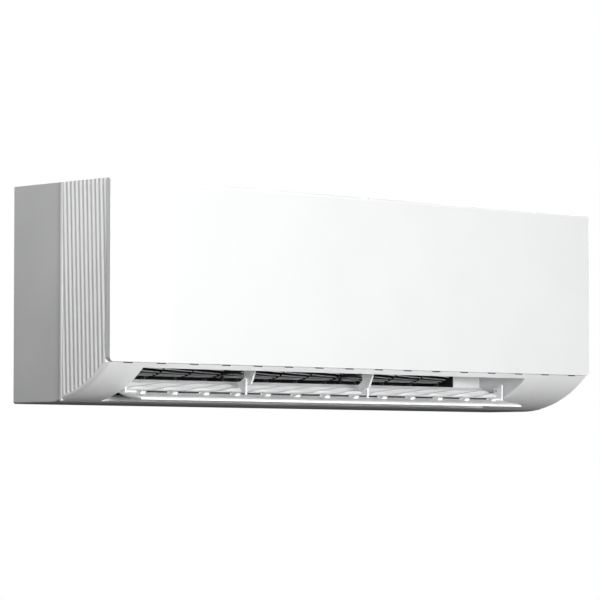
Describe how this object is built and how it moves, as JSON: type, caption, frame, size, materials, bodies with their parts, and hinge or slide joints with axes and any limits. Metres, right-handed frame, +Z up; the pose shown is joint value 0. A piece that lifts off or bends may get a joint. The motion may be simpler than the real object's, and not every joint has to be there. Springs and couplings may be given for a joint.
{
  "type": "mini split indoor unit",
  "caption": "Wall-mounted mini split indoor unit: flat hinged front panel, ribbed ends, tilting louver over the outlet, cross-flow fan, coil and pipes behind.",
  "frame": {"origin": "centre of the wall plate's screw patterns, on the wall face", "axes": "+X to the unit's right as seen from the room, +Y into the wall, +Z up"},
  "size_m": [0.96, 0.21, 0.3],
  "materials": {
    "casing_white": "satin",
    "panel_white": "satin gloss",
    "rib_white": "satin",
    "chassis_grey": "matt",
    "louver_white": "satin",
    "duct_dark": "matt",
    "outlet_white": "matt",
    "vane_grey": "matt",
    "blower_black": "matt",
    "filter_blue": "matt",
    "net_grey": "fine woven net",
    "fin_aluminium": "bright rolled",
    "zinc_steel": "zinc plated",
    "copper": "drawn copper",
    "brass_fitting": "machined",
    "steel_shaft": "ground",
    "rubber_black": "matt",
    "foam_grey": "closed-cell foam",
    "motor_case": "painted",
    "stepper_white": "matt",
    "box_grey": "matt",
    "board_green": "solder mask",
    "terminal_black": "matt",
    "drain_grey": "matt"
  },
  "bodies": {
    "indoor_unit": {"front_casing": "casing_white", "casing_screws": "zinc_steel", "side_panel_left": "rib_white", "side_panel_right": "rib_white", "panel_hinge_pins": "steel_shaft", "rear_chassis": "chassis_grey", "mounting_plate": "zinc_steel", "top_cover": "casing_white", "air_guide": "duct_dark", "vane_motor": "stepper_white", "outlet_frame": "outlet_white", "louver_motor": "stepper_white", "blower_bearing": "rubber_black", "fan_motor": "motor_case", "motor_cradle": "box_grey", "coil_front_fins": "fin_aluminium", "coil_rear_fins": "fin_aluminium", "coil_end_plates": "zinc_steel", "coil_tubes": "copper", "drain_pan": "drain_grey", "drain_plug": "rubber_black", "drain_elbow": "drain_grey", "gas_pipe": "copper", "liquid_pipe": "copper", "gas_union": "brass_fitting", "liquid_union": "brass_fitting", "coil_sensor": "copper", "foam_strip": "foam_grey", "control_box": "box_grey", "control_box_lid": "zinc_steel", "main_board": "board_green", "terminal_block": "terminal_black", "display_board": "board_green"},
    "front_panel": {"front_panel": "panel_white"},
    "louver": {"louver_outer_plate": "louver_white", "louver_inner_plate": "louver_white", "louver_shaft": "steel_shaft"},
    "blower": {"blower_wheel": "blower_black", "blower_end_shaft": "steel_shaft", "motor_shaft": "steel_shaft"},
    "vane_link_bar": {"vane_link_bar": "vane_grey"},
    "vane_crank": {"vane_crank": "vane_grey"},
    "filter_left": {"filter_frame_left": "filter_blue", "filter_net_left": "net_grey"},
    "filter_right": {"filter_frame_right": "filter_blue", "filter_net_right": "net_grey"},
    "auxiliary_button": {"auxiliary_button": "stepper_white"},
    "vane_01": {"vane_01": "vane_grey"},
    "vane_02": {"vane_02": "vane_grey"},
    "vane_03": {"vane_03": "vane_grey"},
    "vane_04": {"vane_04": "vane_grey"},
    "vane_05": {"vane_05": "vane_grey"},
    "vane_06": {"vane_06": "vane_grey"},
    "vane_07": {"vane_07": "vane_grey"},
    "vane_08": {"vane_08": "vane_grey"},
    "vane_09": {"vane_09": "vane_grey"},
    "vane_10": {"vane_10": "vane_grey"},
    "vane_11": {"vane_11": "vane_grey"},
    "vane_12": {"vane_12": "vane_grey"}
  },
  "joints": [
    {"name": "front_panel_hinge", "type": "hinge", "parent": "indoor_unit", "child": "front_panel", "pos_m": [0, -0.206, 0.146], "axis": [1, 0, 0], "range_deg": [-60, 0]},
    {"name": "louver_swing", "type": "hinge", "parent": "indoor_unit", "child": "louver", "pos_m": [0, -0.1472, -0.12115], "axis": [1, 0, 0], "range_deg": [-44, 8]},
    {"name": "blower_spin", "type": "hinge", "parent": "indoor_unit", "child": "blower", "pos_m": [0, -0.078, -0.064], "axis": [1, 0, 0], "continuous": true},
    {"name": "vane_bar_slide", "type": "slide", "parent": "indoor_unit", "child": "vane_link_bar", "axis": [1, 0, 0], "range_m": [-0.0068, 0.0068]},
    {"name": "vane_01_swing", "type": "hinge", "parent": "indoor_unit", "child": "vane_01", "pos_m": [-0.38558, -0.09454, -0.13124], "axis": [0, -0.4878, 0.8729], "range_deg": [-30, 30]},
    {"name": "vane_02_swing", "type": "hinge", "parent": "indoor_unit", "child": "vane_02", "pos_m": [-0.32812, -0.09454, -0.13124], "axis": [0, -0.4878, 0.8729], "range_deg": [-30, 30]},
    {"name": "vane_03_swing", "type": "hinge", "parent": "indoor_unit", "child": "vane_03", "pos_m": [-0.27067, -0.09454, -0.13124], "axis": [0, -0.4878, 0.8729], "range_deg": [-30, 30]},
    {"name": "vane_04_swing", "type": "hinge", "parent": "indoor_unit", "child": "vane_04", "pos_m": [-0.21322, -0.09454, -0.13124], "axis": [0, -0.4878, 0.8729], "range_deg": [-30, 30]},
    {"name": "vane_05_swing", "type": "hinge", "parent": "indoor_unit", "child": "vane_05", "pos_m": [-0.15275, -0.09454, -0.13124], "axis": [0, -0.4878, 0.8729], "range_deg": [-30, 30]},
    {"name": "vane_06_swing", "type": "hinge", "parent": "indoor_unit", "child": "vane_06", "pos_m": [-0.09525, -0.09454, -0.13124], "axis": [0, -0.4878, 0.8729], "range_deg": [-30, 30]},
    {"name": "vane_07_swing", "type": "hinge", "parent": "indoor_unit", "child": "vane_07", "pos_m": [-0.03775, -0.09454, -0.13124], "axis": [0, -0.4878, 0.8729], "range_deg": [-30, 30]},
    {"name": "vane_08_swing", "type": "hinge", "parent": "indoor_unit", "child": "vane_08", "pos_m": [0.01975, -0.09454, -0.13124], "axis": [0, -0.4878, 0.8729], "range_deg": [-30, 30]},
    {"name": "vane_09_swing", "type": "hinge", "parent": "indoor_unit", "child": "vane_09", "pos_m": [0.08069, -0.09454, -0.13124], "axis": [0, -0.4878, 0.8729], "range_deg": [-30, 30]},
    {"name": "vane_10_swing", "type": "hinge", "parent": "indoor_unit", "child": "vane_10", "pos_m": [0.13906, -0.09454, -0.13124], "axis": [0, -0.4878, 0.8729], "range_deg": [-30, 30]},
    {"name": "vane_11_swing", "type": "hinge", "parent": "indoor_unit", "child": "vane_11", "pos_m": [0.19744, -0.09454, -0.13124], "axis": [0, -0.4878, 0.8729], "range_deg": [-30, 30]},
    {"name": "vane_12_swing", "type": "hinge", "parent": "indoor_unit", "child": "vane_12", "pos_m": [0.25581, -0.09454, -0.13124], "axis": [0, -0.4878, 0.8729], "range_deg": [-30, 30]},
    {"name": "vane_crank_swing", "type": "hinge", "parent": "indoor_unit", "child": "vane_crank", "pos_m": [0.307, -0.07185, -0.11856], "axis": [0, -0.4878, 0.8729], "range_deg": [-30, 30]},
    {"name": "filter_left_lift", "type": "slide", "parent": "indoor_unit", "child": "filter_left", "axis": [0, 0, 1], "range_m": [0, 0.06]},
    {"name": "filter_right_lift", "type": "slide", "parent": "indoor_unit", "child": "filter_right", "axis": [0, 0, 1], "range_m": [0, 0.06]},
    {"name": "auxiliary_button_press", "type": "slide", "parent": "indoor_unit", "child": "auxiliary_button", "axis": [0, 1, 0], "range_m": [0, 0.002], "stiffness_N_per_m": 150}
  ],
  "couplings": [
    {"joint": "vane_01_swing", "follows": "vane_bar_slide", "rad_per_m": -76.923},
    {"joint": "vane_02_swing", "follows": "vane_bar_slide", "rad_per_m": -76.923},
    {"joint": "vane_03_swing", "follows": "vane_bar_slide", "rad_per_m": -76.923},
    {"joint": "vane_04_swing", "follows": "vane_bar_slide", "rad_per_m": -76.923},
    {"joint": "vane_05_swing", "follows": "vane_bar_slide", "rad_per_m": -76.923},
    {"joint": "vane_06_swing", "follows": "vane_bar_slide", "rad_per_m": -76.923},
    {"joint": "vane_07_swing", "follows": "vane_bar_slide", "rad_per_m": -76.923},
    {"joint": "vane_08_swing", "follows": "vane_bar_slide", "rad_per_m": -76.923},
    {"joint": "vane_09_swing", "follows": "vane_bar_slide", "rad_per_m": -76.923},
    {"joint": "vane_10_swing", "follows": "vane_bar_slide", "rad_per_m": -76.923},
    {"joint": "vane_11_swing", "follows": "vane_bar_slide", "rad_per_m": -76.923},
    {"joint": "vane_12_swing", "follows": "vane_bar_slide", "rad_per_m": -76.923},
    {"joint": "vane_crank_swing", "follows": "vane_bar_slide", "rad_per_m": 76.923}
  ]
}
